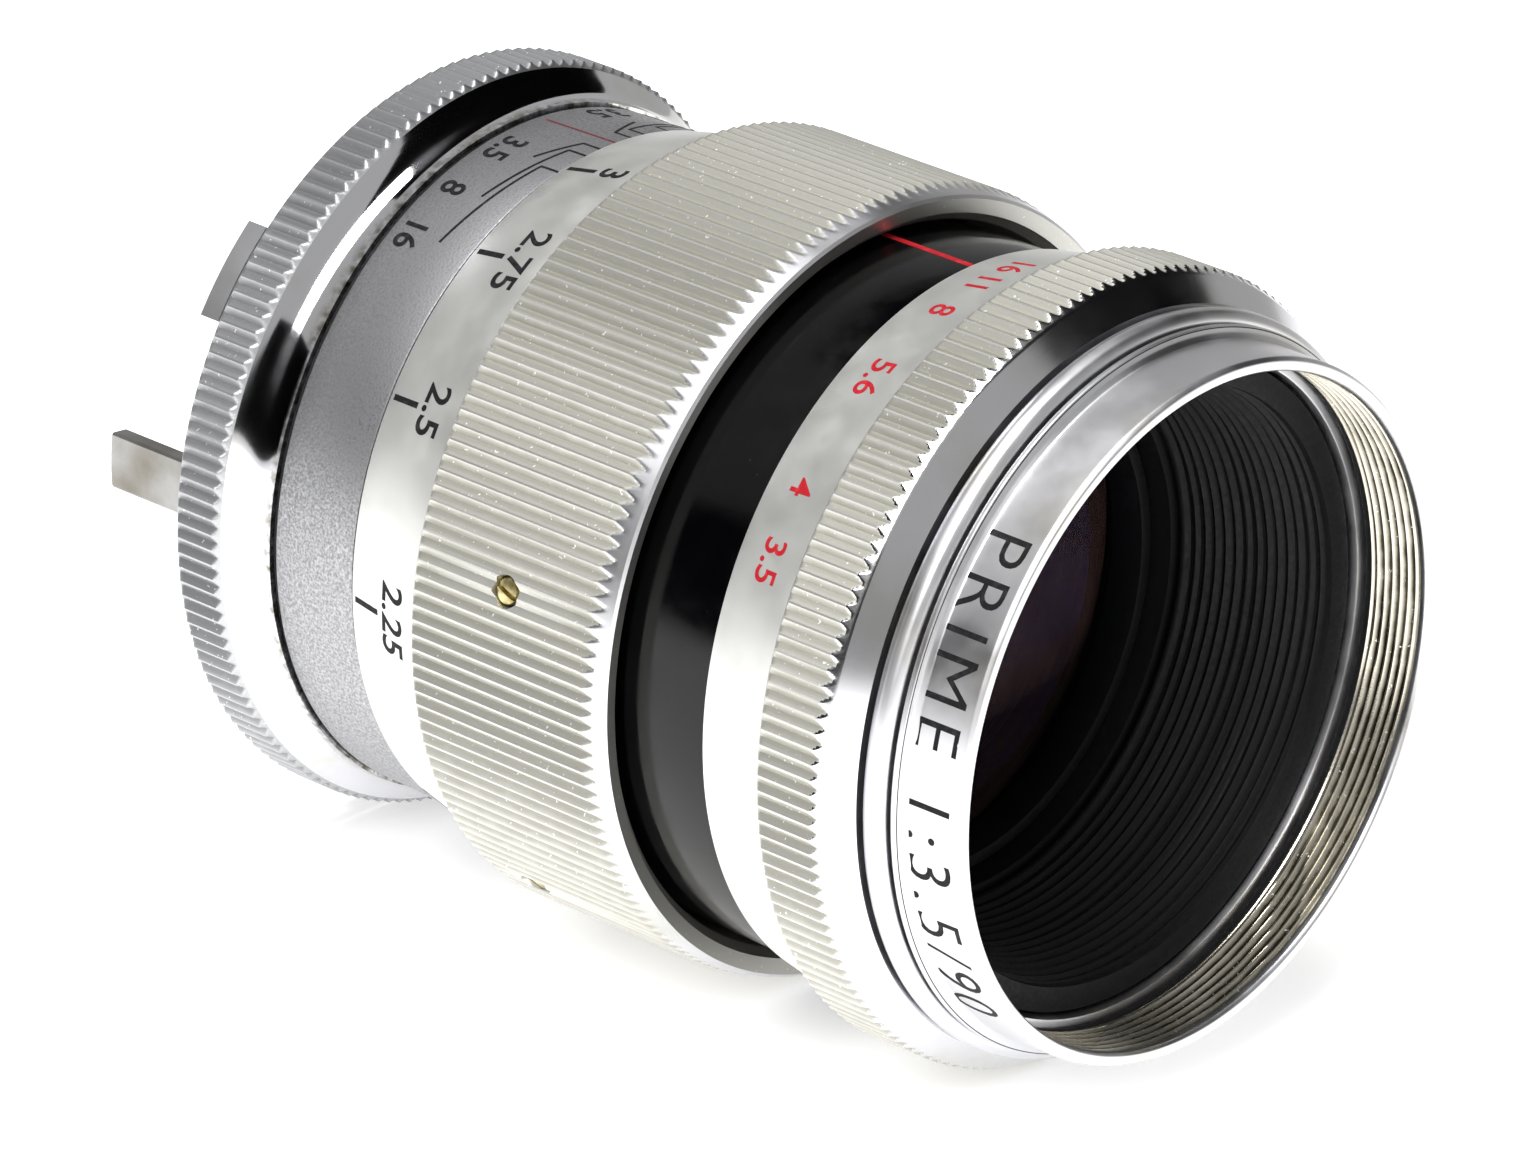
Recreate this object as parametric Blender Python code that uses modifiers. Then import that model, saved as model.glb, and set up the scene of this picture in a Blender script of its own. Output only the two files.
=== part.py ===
"""A 90 mm f/3.5 coupled prime lens of the 1950s, built as its separate turned pieces.

World frame, metres: the origin is the centre of the rear seating face, the optical axis is
the Y axis with the front glass towards -Y, and the index line is at the top, +Z.
Profiles are written in millimetres as (radius, station), where the station is the distance
from the seating face towards the front. Angles around the axis are degrees from the index,
anticlockwise as seen from the front.
"""

from math import asin, cos, pi, radians, sin, sqrt

import bmesh
import bpy
from mathutils import Matrix, Vector

MM = 0.001
OUTER_SIDES = 48
INNER_SIDES = 32
MERGE = 0.00001

# Radii of the main surfaces.
THROAT = 13.2
FIXED_TUBE = 14.6
SEAT = 17.5
LOCK_GRIP = 20.3
SCALE_RING = 18.65
GRIP = 21.05
BARREL = 18.95
FILTER_THREAD = 17.6
NAME_RING = 18.3
OPTIC_TUBE = 14.7
OPTIC_BORE = 13.9

# Stations of the main faces.
DOF_REAR = 5.75
DOF_FRONT = 11.25
GRIP_REAR = 17.35
GRIP_FRONT = 30.6
APERTURE_REAR = 35.95
APERTURE_FRONT = 46.05
FRONT_RIM = 51.75

# The sliding tongue behind the mount, and the key that stops the barrel from turning.
TONGUE_ANGLE = 91
TONGUE_TIP = -8.3
KEY_ANGLE = 270

# Bayonet lugs on the locking ring.
LUG_COUNT = 3
FIRST_LUG = 51.7
LUG_SPAN = 16

# Iris: each blade swings about a pin near the wall of the optic tube.
BLADE_COUNT = 10
BLADE_PIVOT = 13.1
BLADE_INNER = 9.2
BLADE_OUTER = 12.65
BLADE_ARC = 110
BLADE_THICKNESS = 0.08
BLADE_STEP = 0.17
FIRST_BLADE_STATION = 26.25
FULL_STOP = 3.5
REST_STOP = 16

for old in list(bpy.data.objects):
    bpy.data.objects.remove(old)

parts = bpy.data.collections.new("prime_camera_lens")
cutters = bpy.data.collections.new("cutters")
bpy.context.scene.collection.children.link(parts)
bpy.context.scene.collection.children.link(cutters)


def finish(name, colour, roughness, metallic):
    material = bpy.data.materials.new(name)
    material.use_nodes = True
    shader = material.node_tree.nodes["Principled BSDF"]
    shader.inputs["Base Color"].default_value = (*colour, 1)
    shader.inputs["Roughness"].default_value = roughness
    shader.inputs["Metallic"].default_value = metallic
    return material


SATIN = finish("satin_aluminium", (0.72, 0.72, 0.74), 0.35, 1)
POLISHED = finish("polished_aluminium", (0.85, 0.85, 0.86), 0.12, 1)
KNURLED = finish("knurled_aluminium", (0.62, 0.62, 0.58), 0.4, 1)
BLASTED = finish("blasted_aluminium", (0.5, 0.5, 0.52), 0.55, 1)
BLACK = finish("black_enamel", (0.01, 0.01, 0.012), 0.15, 0)
MATT_BLACK = finish("matt_black_lacquer", (0.02, 0.02, 0.022), 0.6, 0)
BRASS = finish("brass", (0.72, 0.55, 0.25), 0.3, 1)
STEEL = finish("spring_steel", (0.35, 0.36, 0.38), 0.35, 1)
GLASS = finish("coated_glass", (0.35, 0.3, 0.5), 0.02, 0)
GLASS.node_tree.nodes["Principled BSDF"].inputs["Transmission Weight"].default_value = 0.9


def axis_frame(name, parent=None, place=(0, 0, 0), turn=(0, 0, 0)):
    """An empty on a joint's axis. Pieces under it use x, y and the station as z."""
    frame = bpy.data.objects.new(name, None)
    frame.parent = parent
    frame.location = place
    frame.rotation_euler = turn
    parts.objects.link(frame)
    return frame


OPTICAL_AXIS = axis_frame("optical_axis", turn=(pi / 2, 0, 0))
MOUNT = axis_frame("mount_body", OPTICAL_AXIS)
LOCK = axis_frame("lock_body", OPTICAL_AXIS)
FOCUS = axis_frame("focus_body", OPTICAL_AXIS)
BARREL_BODY = axis_frame("barrel_body", OPTICAL_AXIS)
APERTURE = axis_frame("aperture_body", OPTICAL_AXIS)


def polar(radius, angle):
    """The point at this radius, this many degrees from the index line, in millimetres."""
    return Vector((-radius * sin(radians(angle)), radius * cos(radians(angle)), 0))


def add(name, mesh, material, parent):
    piece = bpy.data.objects.new(name, mesh)
    piece.parent = parent
    if material is None:
        piece.hide_render = True
        piece.display_type = "WIRE"
        cutters.objects.link(piece)
    else:
        mesh.materials.append(material)
        parts.objects.link(piece)
    return piece


def turned(name, profile, material, parent, sides=OUTER_SIDES, closed=True):
    """A profile of (radius, station) turned about the axis.

    A closed profile makes a ring. An open one starts and ends on the axis, front first.
    """
    count = len(profile)
    if closed:
        area = sum(
            profile[i][0] * profile[(i + 1) % count][1] - profile[(i + 1) % count][0] * profile[i][1]
            for i in range(count)
        )
        if area > 0:
            profile = profile[::-1]
    edges = [(i, i + 1) for i in range(count - 1)]
    if closed:
        edges.append((count - 1, 0))
    mesh = bpy.data.meshes.new(name)
    mesh.from_pydata([(r * MM, 0, s * MM) for r, s in profile], edges, [])
    piece = add(name, mesh, material, parent)
    screw = piece.modifiers.new("turn", "SCREW")
    screw.axis = "Z"
    screw.steps = sides
    screw.render_steps = sides
    screw.use_merge_vertices = True
    screw.merge_threshold = MERGE
    screw.use_smooth_shade = True
    return piece


def prism(name, outline, low, high, material, parent):
    """A flat outline of points, extruded from one station to another."""
    shape = bmesh.new()
    corners = [shape.verts.new((p.x * MM, p.y * MM, low * MM)) for p in outline]
    face = shape.faces.new(corners)
    grown = bmesh.ops.extrude_face_region(shape, geom=[face])
    raised = [v for v in grown["geom"] if isinstance(v, bmesh.types.BMVert)]
    bmesh.ops.translate(shape, verts=raised, vec=(0, 0, (high - low) * MM))
    bmesh.ops.recalc_face_normals(shape, faces=shape.faces)
    mesh = bpy.data.meshes.new(name)
    shape.to_mesh(mesh)
    shape.free()
    return add(name, mesh, material, parent)


def arc(radius, start, end, steps):
    return [polar(radius, start + (end - start) * i / steps) for i in range(steps + 1)]


def sector(name, radii, middle, half_span, stations, material, parent, steps=6):
    """A block between two radii and two angles, extruded along the axis."""
    start, end = middle - half_span, middle + half_span
    outline = arc(radii[1], start, end, steps) + arc(radii[0], end, start, steps)
    return prism(name, outline, *stations, material, parent)


def radial_pin(name, radius, angle, station, reach, material, parent, sides=16):
    """A cylinder that points away from the axis, from reach[0] to reach[1]."""
    shape = bmesh.new()
    length = (reach[1] - reach[0]) * MM
    outward = polar(1, angle)
    place = polar((reach[0] + reach[1]) / 2, angle) * MM + Vector((0, 0, station * MM))
    matrix = Matrix.Translation(place) @ outward.to_track_quat("Z", "Y").to_matrix().to_4x4()
    bmesh.ops.create_cone(
        shape, cap_ends=True, segments=sides, radius1=radius * MM, radius2=radius * MM,
        depth=length, matrix=matrix,
    )
    mesh = bpy.data.meshes.new(name)
    shape.to_mesh(mesh)
    shape.free()
    return add(name, mesh, material, parent)


def combine(piece, other, operation):
    step = piece.modifiers.new(other.name, "BOOLEAN")
    step.operation = operation
    step.solver = "EXACT"
    step.object = other


def cove(start, end, sag, steps=5):
    """Points of a hollow curve from one (radius, station) to another, both ends included."""
    points = []
    for i in range(steps + 1):
        t = i / steps
        hollow = sag * sin(pi * t)
        points.append((start[0] + (end[0] - start[0]) * t - hollow, start[1] + (end[1] - start[1]) * t))
    return points


def lens(name, radius, front, back, front_curve, back_curve, parent, steps=4):
    """A glass element. front and back are its vertices; a positive curve bulges outwards."""

    def sag(curve, r):
        return curve / abs(curve) * (abs(curve) - sqrt(curve * curve - r * r))

    rings = [radius * i / steps for i in range(steps + 1)]
    profile = [(r, front - sag(front_curve, r)) for r in rings]
    profile += [(r, back + sag(back_curve, r)) for r in reversed(rings)]
    return turned(name, profile, GLASS, parent, INNER_SIDES, closed=False)


def build_mount():
    """The fixed body: seat, bearing cup for the focusing ring and guide tube for the barrel."""
    base = turned("mount_base", [
        (THROAT, 0), (SEAT, 0), (SEAT, 2.2), (SEAT - 0.5, 2.2), (SEAT - 0.5, 3.4), (SEAT, 3.4),
        (SEAT, 16.6), (16.95, 16.6), (16.95, 6), (FIXED_TUBE, 6), (FIXED_TUBE, 22), (THROAT, 22),
    ], SATIN, MOUNT)
    slot = sector("tongue_slot", (15.2, 16.9), TONGUE_ANGLE, 7, (-1, 7), None, MOUNT)
    combine(base, slot, "DIFFERENCE")
    turned("dof_scale_ring", [
        (SEAT + 0.3, DOF_REAR), (SCALE_RING - 0.25, DOF_REAR), (SCALE_RING, DOF_REAR + 0.2),
        (SCALE_RING, DOF_FRONT), (SEAT + 0.3, DOF_FRONT),
    ], BLASTED, MOUNT)
    turned("focus_retaining_ring", [(16.95, 16.95), (18.35, 16.95), (18.35, 17.7), (16.95, 17.7)],
           BRASS, MOUNT)
    sector("guide_key", (FIXED_TUBE + 0.2, 15.9), KEY_ANGLE, 5.5, (14, 21), STEEL, MOUNT)


def build_lock_ring():
    """The knurled locking ring, its polished hollow neck and the bayonet ring behind it."""
    ring = turned("lock_ring", [
        (SEAT + 0.3, 0), (LOCK_GRIP - 0.3, 0), (LOCK_GRIP, 0.3), (LOCK_GRIP, 2.8),
        *cove((LOCK_GRIP - 0.35, 3.15), (18.7, 5.45), 0.35), (SEAT + 0.3, 5.45),
    ], KNURLED, LOCK)
    screw_hole = radial_pin("stop_screw_hole", 0.75, 240, 2.8, (16, 22), None, LOCK)
    combine(ring, screw_hole, "DIFFERENCE")
    radial_pin("lock_stop_screw", 0.55, 240, 2.8, (17.2, 20.1), STEEL, LOCK, 12)
    bayonet = turned("bayonet_ring", [(17.95, -0.9), (18.9, -0.9), (18.9, -0.3), (17.95, -0.3)],
                     SATIN, LOCK)
    for i in range(LUG_COUNT):
        lug = sector(f"lug_{i + 1}", (18.3, 19.6), FIRST_LUG + i * 360 / LUG_COUNT, LUG_SPAN / 2,
                     (-1.6, -0.35), None, LOCK)
        combine(bayonet, lug, "UNION")


def build_focus_ring():
    """The distance scale, the knurled grip and the helicoid nut, held by brass grub screws."""
    turned("distance_scale_ring", [
        (17.85, 11.55), (18.85, 11.55), (20.1, 17.05), (18.65, 17.05), (18.65, 16.65), (17.85, 16.65),
    ], SATIN, FOCUS)
    grip = turned("focus_grip", [
        (19.3, GRIP_REAR), (GRIP - 0.55, GRIP_REAR), (GRIP, GRIP_REAR + 0.55), (GRIP, 29.3),
        (20.65, GRIP_FRONT), (19.6, 30.35), (19.3, 30.05),
    ], KNURLED, FOCUS)
    turned("helicoid_nut", [(17.5, 18), (19, 18), (19, 24.5), (17.5, 24.5)], BRASS, FOCUS)
    for i, (angle, station) in enumerate(((80, 23.65), (137, 20.6), (260, 23.65))):
        hole = radial_pin(f"grub_hole_{i + 1}", 0.85, angle, station, (19.1, 22), None, FOCUS)
        combine(grip, hole, "DIFFERENCE")
        radial_pin(f"grub_screw_{i + 1}", 0.68, angle, station, (19.15, 20.85), BRASS, FOCUS, 12)


def build_barrel():
    """The sliding barrel: inner helicoid, black tube, tongue and the front rings."""
    helicoid = turned("inner_helicoid", [
        (15, 12.3), (16.6, 12.3), (16.6, 20.8), (17.2, 20.8), (17.2, 27.3), (16.6, 27.3),
        (16.6, 31), (15.95, 31), (15.95, 24), (15, 24),
    ], BRASS, BARREL_BODY, INNER_SIDES)
    key_slot = sector("key_slot", (14.4, 16.15), KEY_ANGLE, 7, (11, 25), None, BARREL_BODY)
    combine(helicoid, key_slot, "DIFFERENCE")
    sector("coupling_tongue", (15.5, 16.6), TONGUE_ANGLE, 5.4, (TONGUE_TIP, 12), STEEL, BARREL_BODY, 4)
    tube = turned("barrel_tube", [
        (16.9, 27.6), (BARREL, 27.6), (BARREL, 35.6), (18, 35.6), (18, 46), (16.9, 46),
    ], BLACK, BARREL_BODY)
    pin_slot = sector("drive_pin_slot", (16, 19), 148.5, 37, (36.3, 37.5), None, BARREL_BODY, 8)
    combine(tube, pin_slot, "DIFFERENCE")
    turned("front_ring", [
        (17.25, 46.35), (19.4, 46.35), (19.5, 46.7), (19.4, 47.2), (19.1, 47.5), (17.25, 47.5),
    ], POLISHED, BARREL_BODY)
    turned("name_ring", [
        (FILTER_THREAD, 47.8), (18.95, 47.8), (18.95, 48.1), (18.5, 48.35), (NAME_RING, 48.6),
        (NAME_RING, 51.6), (18.2, FRONT_RIM), (17.7, FRONT_RIM), (FILTER_THREAD, 51.6),
    ], POLISHED, BARREL_BODY)
    turned("grooved_baffle", [
        (14.2, 38.4), (14.8, 38.4), (16.2, 46.4), (17, 46.4), (17, 47.1), (15.7, 47.1),
    ], MATT_BLACK, BARREL_BODY)


def build_optics():
    """Three air-spaced glasses in a black tube, with the iris between the second and third."""
    tube = turned("optic_tube", [
        (OPTIC_BORE, 25.3), (OPTIC_TUBE, 25.3), (OPTIC_TUBE, 37.8), (16.6, 37.8), (16.6, 38.9),
        (15.2, 38.9), (15.2, 38), (OPTIC_BORE, 38),
    ], MATT_BLACK, BARREL_BODY, INNER_SIDES)
    arm_slot = sector("arm_slot", (13.2, 15.4), 148.5, 37, (27.9, 28.9), None, BARREL_BODY, 8)
    combine(tube, arm_slot, "DIFFERENCE")
    lens("front_element", 13.4, 37.4, 32.8, 30, 200, BARREL_BODY)
    turned("front_retaining_ring", [(12.9, 34.7), (13.6, 34.7), (13.6, 36.9), (12.9, 36.9)],
           MATT_BLACK, BARREL_BODY, INNER_SIDES)
    turned("middle_cell", [
        (10.2, 28.95), (13.6, 28.95), (13.6, 32.5), (11.3, 32.5), (11.3, 29.3), (10.2, 29.3),
    ], MATT_BLACK, BARREL_BODY, INNER_SIDES)
    lens("middle_element", 11, 31.5, 30.9, -45, -60, BARREL_BODY)
    turned("rear_cell", [
        (11.1, 19.6), (12.7, 19.6), (12.7, 24.8), (14.6, 24.8), (14.6, 25.05), (11.1, 25.05),
    ], MATT_BLACK, BARREL_BODY, INNER_SIDES)
    lens("rear_element", 10.8, 24.2, 20.3, 60, 35, BARREL_BODY)
    turned("rear_retaining_ring", [(9.9, 20.2), (10.9, 20.2), (10.9, 21.6), (9.9, 21.6)],
           MATT_BLACK, BARREL_BODY, INNER_SIDES)


def build_aperture_ring():
    """The aperture ring and what carries its turn back to the iris."""
    turned("aperture_ring", [
        (18.3, APERTURE_REAR), (19.4, APERTURE_REAR), (20.05, 40.3), (20.5, 40.4), (21, 40.9),
        (21, 44.6), (19.5, APERTURE_FRONT), (18.3, APERTURE_FRONT),
    ], KNURLED, APERTURE)
    turned("aperture_drive_sleeve", [(15, 27.6), (15.6, 27.6), (15.6, 37.5), (15, 37.5)], BRASS,
           APERTURE, INNER_SIDES)
    radial_pin("aperture_drive_pin", 0.45, 180, 36.9, (15.8, 18.05), STEEL, APERTURE, 10)
    ring = turned("iris_drive_ring", [(11, 28.05), (13.6, 28.05), (13.6, 28.7), (11, 28.7)], BRASS,
                  APERTURE, INNER_SIDES)
    arm = sector("drive_arm", (13, 14.8), 180, 2, (28.15, 28.6), None, APERTURE, 1)
    combine(ring, arm, "UNION")


def blade_outline():
    """The blade wide open, about its pin: a band around the optical axis with a tab at the pin."""
    tab = (polar(BLADE_PIVOT + 0.4, 1.7), polar(BLADE_PIVOT + 0.4, -1.7))
    band = arc(BLADE_INNER, -2, BLADE_ARC, 10) + arc(BLADE_OUTER, BLADE_ARC, 2.4, 10)
    return [point - polar(BLADE_PIVOT, 0) for point in (*band, *tab)]


def build_iris():
    """The blade pin plate and the blades, stacked one level each and stopped down."""
    plate = turned("iris_pin_plate", [(10, 25.45), (13.7, 25.45), (13.7, 25.95), (10, 25.95)],
                   BRASS, BARREL_BODY, INNER_SIDES)
    closing = BLADE_INNER * (1 - FULL_STOP / REST_STOP)
    stopped_down = 2 * asin(closing / 2 / BLADE_PIVOT)
    for i in range(BLADE_COUNT):
        angle = i * 360 / BLADE_COUNT
        level = FIRST_BLADE_STATION + i * BLADE_STEP
        place = polar(BLADE_PIVOT, angle) * MM
        hinge = axis_frame(f"blade_hinge_{i + 1:02d}", BARREL_BODY, place,
                           (0, 0, radians(angle) + stopped_down))
        blade = prism(f"iris_blade_{i + 1:02d}", blade_outline(), level, level + BLADE_THICKNESS,
                      STEEL, hinge)
        for name, radius, low, high, owner, joined in (
            ("blade_pin", 0.2, 25.55, level + BLADE_THICKNESS / 2, blade, "UNION"),
            ("pin_hole", 0.32, 25, 26.5, plate, "DIFFERENCE"),
        ):
            rim = [Vector((radius * cos(pi * k / 4), radius * sin(pi * k / 4), 0)) for k in range(8)]
            combine(owner, prism(f"{name}_{i + 1:02d}", rim, low, high, None, hinge), joined)


build_mount()
build_lock_ring()
build_focus_ring()
build_barrel()
build_optics()
build_aperture_ring()
build_iris()
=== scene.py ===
"""The looks of a 90 mm f/3.5 coupled prime lens of the 1950s, built piece by piece from the rear.

Sizes are in millimetres as (radius, station): the station is the distance along the axis from
the rear seat towards the front glass, and angles are degrees from the index line at the top,
anticlockwise as seen from the front.
"""

import bpy
import numpy as np
from mathutils import Matrix, Vector


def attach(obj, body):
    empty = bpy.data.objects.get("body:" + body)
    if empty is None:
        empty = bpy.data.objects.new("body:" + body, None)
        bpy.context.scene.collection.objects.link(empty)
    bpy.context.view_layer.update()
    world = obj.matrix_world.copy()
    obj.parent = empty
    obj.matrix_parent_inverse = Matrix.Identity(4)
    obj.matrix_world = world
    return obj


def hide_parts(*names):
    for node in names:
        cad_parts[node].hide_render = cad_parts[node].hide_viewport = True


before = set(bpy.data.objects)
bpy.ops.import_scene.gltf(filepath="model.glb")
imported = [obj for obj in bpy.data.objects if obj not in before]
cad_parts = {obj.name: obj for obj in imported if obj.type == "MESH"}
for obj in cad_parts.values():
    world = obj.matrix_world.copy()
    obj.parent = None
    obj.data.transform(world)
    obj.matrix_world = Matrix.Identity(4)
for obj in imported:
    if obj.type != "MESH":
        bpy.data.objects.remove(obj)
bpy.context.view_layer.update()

# The camera body's side of the lens: a turned aluminium base with the flat rear seat, the
# tunnel for the sliding barrel and a slot for the coupling tongue. Fine turning marks run
# round its faces. It is bored, turned and milled from one bar.

MM = 0.001


def linear(hex_colour):
    """An sRGB colour such as d8d8da as the linear RGBA that shaders take."""
    srgb = np.array([int(hex_colour[i:i + 2], 16) for i in (0, 2, 4)]) / 255
    rgb = np.where(srgb <= 0.04045, srgb / 12.92, ((srgb + 0.055) / 1.055) ** 2.4)
    return (*rgb.tolist(), 1)


def add_node(tree, kind, inputs=(), **settings):
    """A node with its settings. An input is a value, or the output socket that feeds it."""
    node = tree.nodes.new(kind)
    for key, value in settings.items():
        setattr(node, key, value)
    for key, value in dict(inputs).items():
        if isinstance(value, bpy.types.NodeSocket):
            tree.links.new(value, node.inputs[key])
        else:
            node.inputs[key].default_value = value
    return node


def new_finish(name, **shader_inputs):
    """A material with one Principled shader, whose constants sit on the shader's own sockets."""
    finish = bpy.data.materials.new(name)
    finish.use_nodes = True
    shader = finish.node_tree.nodes["Principled BSDF"]
    for key, value in shader_inputs.items():
        shader.inputs[key.replace("_", " ")].default_value = value
    return finish, finish.node_tree, shader


def blend_of(tree, factor, first, second, low=0.0, high=1.0):
    """A colour that goes from first to second as the factor goes from low to high."""
    ramp = add_node(tree, "ShaderNodeValToRGB", {"Fac": factor})
    ramp.color_ramp.elements[0].position = low
    ramp.color_ramp.elements[0].color = linear(first)
    ramp.color_ramp.elements[1].position = high
    ramp.color_ramp.elements[1].color = linear(second)
    return ramp.outputs["Color"]


def level_of(tree, factor, from_min, from_max, to_min, to_max):
    """A factor mapped from one range to another, clamped."""
    values = {"Value": factor, "From Min": from_min, "From Max": from_max, "To Min": to_min, "To Max": to_max}
    return add_node(tree, "ShaderNodeMapRange", values).outputs["Result"]


def speckle(tree, per_metre, detail=2.0, stretch=(1, 1, 1)):
    """Noise with this many cells to a metre, on Object coordinates stretched along X, Y and Z.

    5000 gives grains of 0.2 mm.
    """
    place = add_node(tree, "ShaderNodeTexCoord").outputs["Object"]
    mapped = add_node(tree, "ShaderNodeMapping", {"Vector": place, "Scale": stretch}).outputs["Vector"]
    inputs = {"Vector": mapped, "Scale": per_metre, "Detail": detail}
    return add_node(tree, "ShaderNodeTexNoise", inputs).outputs["Fac"]


def relieve(tree, shader, height, depth_mm):
    """Bump of this depth from a height between 0 and 1."""
    inputs = {"Height": height, "Distance": depth_mm * MM, "Strength": 1.0}
    bump = add_node(tree, "ShaderNodeBump", inputs)
    tree.links.new(bump.outputs["Normal"], shader.inputs["Normal"])


def turned_aluminium(name, colour, roughness, line_mm, line_depth, worn="cbcac5"):
    """Bright turned bar: fine rings left by the tool, a few handling stains and specks."""
    finish, tree, shader = new_finish(name, Metallic=1.0, Roughness=roughness)
    rings = speckle(tree, 1 / (line_mm * MM), 3.0, (0.02, 1, 0.02))
    stains = speckle(tree, 180, 5.0)
    tree.links.new(blend_of(tree, stains, worn, colour, 0.28, 0.5), shader.inputs["Base Color"])
    rubbed = level_of(tree, speckle(tree, 420, 4.0), 0.3, 0.75, roughness * 0.85, roughness * 1.2)
    tree.links.new(rubbed, shader.inputs["Roughness"])
    relieve(tree, shader, rings, line_depth)
    return finish


def rounded(corners, size=0.08):
    """A closed profile whose corners are turned into short curves of this size.

    Each corner becomes three points of the quadratic curve that starts on one side of it and
    ends on the other, at this distance or at 0.4 of the side, whichever is less.
    """
    corner = np.array(corners, float)
    curves = []
    for side in (np.roll(corner, 1, 0) - corner, np.roll(corner, -1, 0) - corner):
        length = np.linalg.norm(side, axis=1, keepdims=True)
        curves.append(corner + side / length * np.minimum(size, 0.4 * length))
    before, after = curves
    middle = (before + 2 * corner + after) / 4
    return np.stack((before, middle, after), 1).reshape(-1, 2)


def finer(profile, step, plain=0.0):
    """The closed profile with each side split evenly into pieces no longer than the step.

    A side whose ends are both nearer the axis than the plain radius stays whole.
    """
    ends = np.roll(profile, -1, 0)
    pieces = np.maximum(1, np.ceil(np.linalg.norm(ends - profile, axis=1) / step)).astype(int)
    pieces[np.maximum(profile[:, 0], ends[:, 0]) < plain] = 1
    side = np.repeat(np.arange(len(profile)), pieces)
    first = np.repeat(np.cumsum(pieces) - pieces, pieces)
    share = ((np.arange(len(side)) - first) / np.repeat(pieces, pieces))[:, None]
    return profile[side] * (1 - share) + ends[side] * share


def grid_faces(rows, columns):
    """The quads of a grid of points that closes on itself both ways."""
    row, column = np.indices((rows, columns))
    down, across = (row + 1) % rows, (column + 1) % columns
    return np.stack((row * columns + column, down * columns + column,
                     down * columns + across, row * columns + across), -1).reshape(-1, 4)


def ring(name, profile, finish, turns=256, relief=None, angles=None, groove=None):
    """A closed profile of (radius, station) carried round the axis, as one closed mesh.

    A point at angle t is (-r sin t, -s, r cos t). relief(radius, station, angle) gives the
    radius where the surface isn't plain; groove(radius, station, angle) is kept as an attribute.
    """
    if angles is None:
        angles = np.arange(turns) * 2 * np.pi / turns
    r, s = (np.repeat(side[:, None], len(angles), 1) for side in np.array(profile, float).T)
    t = np.repeat(angles[None], len(r), 0)
    depth = groove(r, s, t) if groove else None
    if relief:
        r = relief(r, s, t)
    points = np.stack((-r * np.sin(t), -s, r * np.cos(t)), -1).reshape(-1, 3) * MM
    return solid(name, points, grid_faces(*t.shape), finish, depth)


SHARP = np.radians(32)


def solid(name, points, faces, finish, depth=None):
    """A mesh from arrays of points and quads. Its faces are turned outwards if they aren't."""
    a, b, c, d = (points[faces[:, i]] for i in range(4))
    if np.einsum("ij,ij->i", a, np.cross(b, c) + np.cross(c, d)).sum() < 0:
        faces = faces[:, ::-1]
    mesh = bpy.data.meshes.new(name)
    mesh.vertices.add(len(points))
    mesh.vertices.foreach_set("co", points.ravel())
    mesh.loops.add(faces.size)
    mesh.loops.foreach_set("vertex_index", faces.ravel().astype(np.int32))
    mesh.polygons.add(len(faces))
    mesh.polygons.foreach_set("loop_start", np.arange(len(faces), dtype=np.int32) * 4)
    mesh.update(calc_edges=True)
    if depth is not None:
        mesh.attributes.new("groove", "FLOAT", "POINT").data.foreach_set("value", depth.ravel())
    mesh.shade_smooth()
    mesh.set_sharp_from_angle(angle=SHARP)
    mesh.materials.append(finish)
    piece = bpy.data.objects.new(name, mesh)
    bpy.context.scene.collection.objects.link(piece)
    return piece


def bar_faces(steps):
    """The quads of a bar with four corners and this many steps along it, closed at both ends."""
    start, corner = np.meshgrid(np.arange(steps) * 4, np.arange(4), indexing="ij")
    after = (corner + 1) % 4
    sides = np.stack((start + corner, start + after, start + after + 4, start + corner + 4), -1)
    last = steps * 4
    ends = np.array([[3, 2, 1, 0], [last, last + 1, last + 2, last + 3]])
    return np.vstack((sides.reshape(-1, 4), ends))


def wedge(name, radii, angles, stations, finish, steps=12):
    """A block between two radii, two angles and two stations, bent round the axis."""
    t = np.radians(np.linspace(*angles, steps + 1))
    corner_r = np.array([radii[0], radii[1], radii[1], radii[0]])
    corner_s = np.array([stations[0], stations[0], stations[1], stations[1]])
    x = -corner_r * np.sin(t)[:, None]
    z = corner_r * np.cos(t)[:, None]
    points = np.stack((x, np.broadcast_to(-corner_s, x.shape), z), -1).reshape(-1, 3) * MM
    return solid(name, points, bar_faces(steps), finish)


def shape_by(piece, other, operation):
    """The piece joined with, or cut by, another mesh, which is used up."""
    step = piece.modifiers.new(operation, "BOOLEAN")
    step.operation = operation
    step.solver = "EXACT"
    step.object = other
    made = bpy.data.meshes.new_from_object(piece.evaluated_get(bpy.context.evaluated_depsgraph_get()))
    piece.modifiers.clear()
    old = piece.data
    piece.data = made
    made.name = old.name
    made.set_sharp_from_angle(angle=SHARP)
    bpy.data.meshes.remove(old)
    bpy.data.objects.remove(other)
    return piece


def belongs(piece, body, slot, *nodes):
    """The piece rides on its body and stands for these nodes. The slot is not used."""
    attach(piece, body)
    if nodes:
        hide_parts(*nodes)
    return piece


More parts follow.
